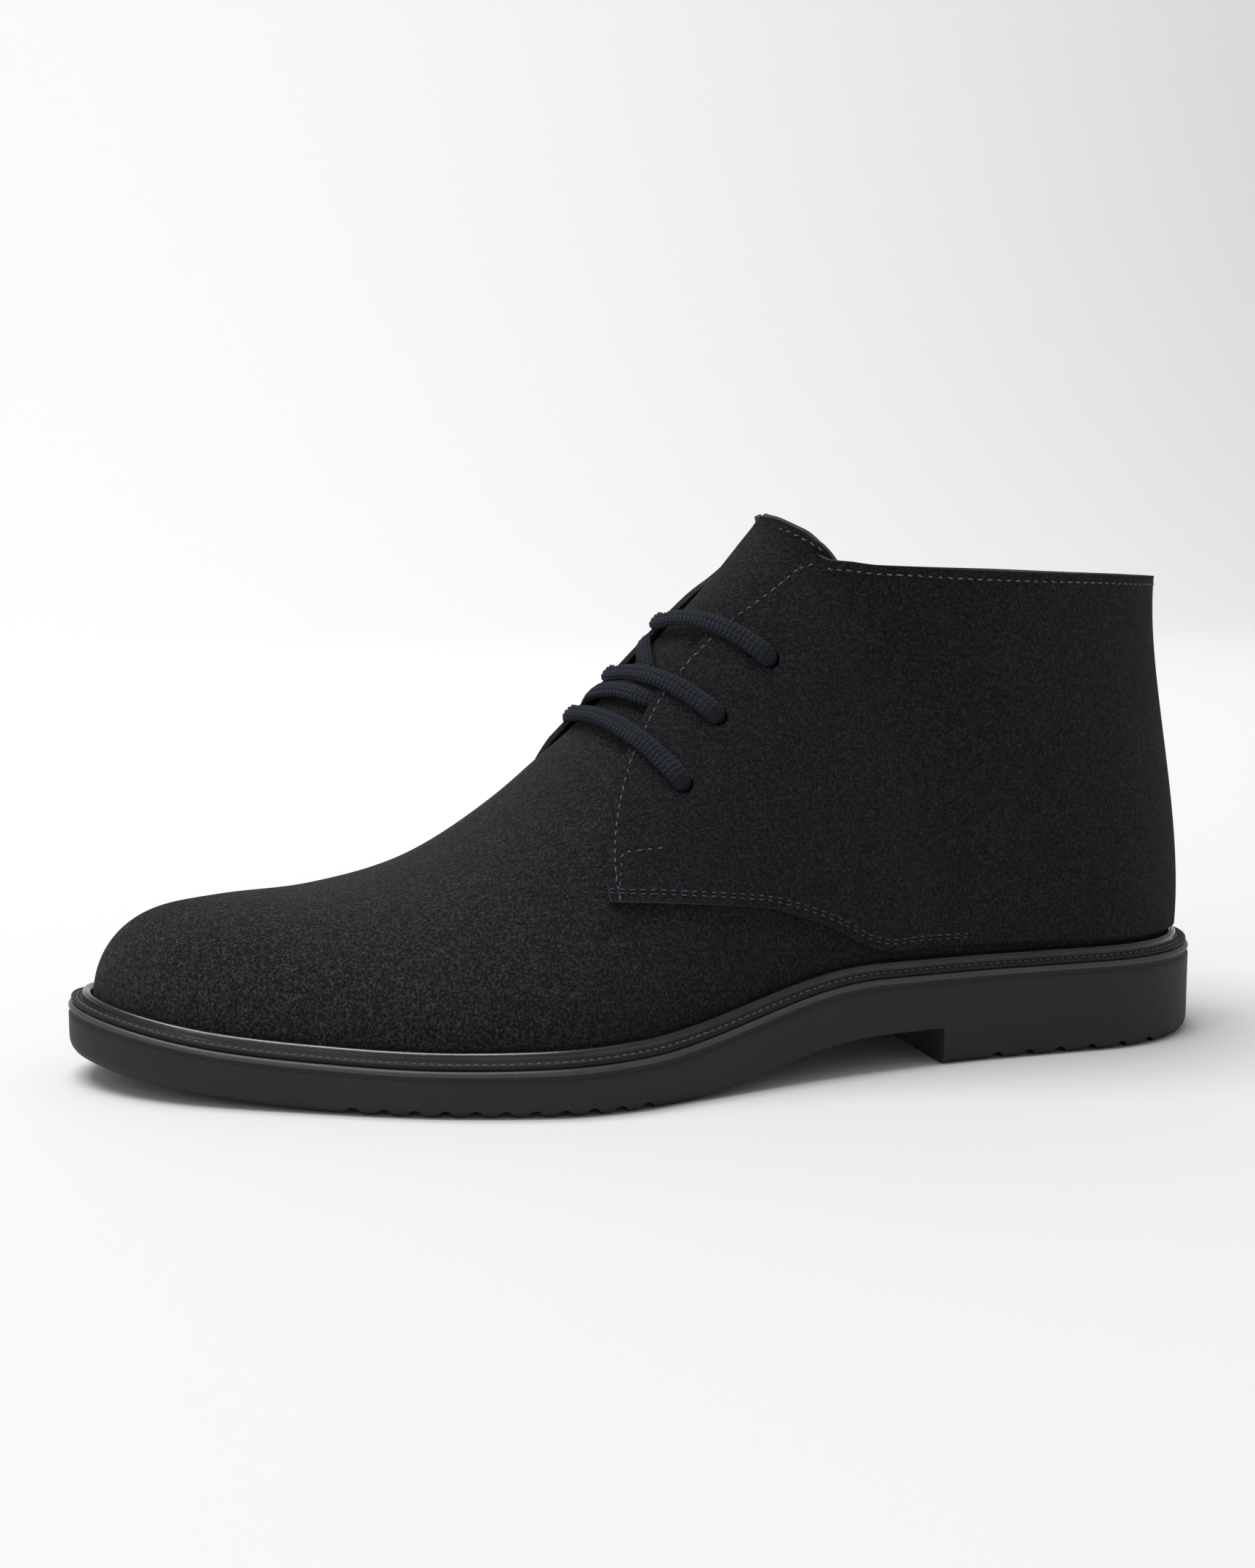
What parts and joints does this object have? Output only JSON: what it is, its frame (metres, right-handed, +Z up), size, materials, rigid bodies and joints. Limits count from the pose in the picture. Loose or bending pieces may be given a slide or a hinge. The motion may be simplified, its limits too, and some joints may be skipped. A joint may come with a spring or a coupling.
{
  "type": "chukka boot",
  "caption": "Left suede ankle boot with an open collar, laced throat over a tongue, overlaid quarters, a storm welt and a moulded rubber sole with an arch and a low heel.",
  "frame": {"origin": "centre of the bounding box in plan, on the floor plane under the sole", "axes": "+X towards the outer (lateral) side, -Y towards the toe, +Z up out of the collar"},
  "size_m": [0.1122, 0.305, 0.141],
  "materials": {
    "sole_rubber": "matte",
    "welt_rubber": "satin",
    "suede": "matte",
    "footbed": "matte",
    "lace": "matte"
  },
  "bodies": {
    "root": {"outsole": "sole_rubber", "welt": "welt_rubber", "insole": "footbed", "upper": "suede", "quarter_outer": "suede", "quarter_inner": "suede", "tongue": "suede", "lace_bar_1": "lace", "lace_bar_2": "lace", "lace_bar_3": "lace"}
  },
  "joints": []
}
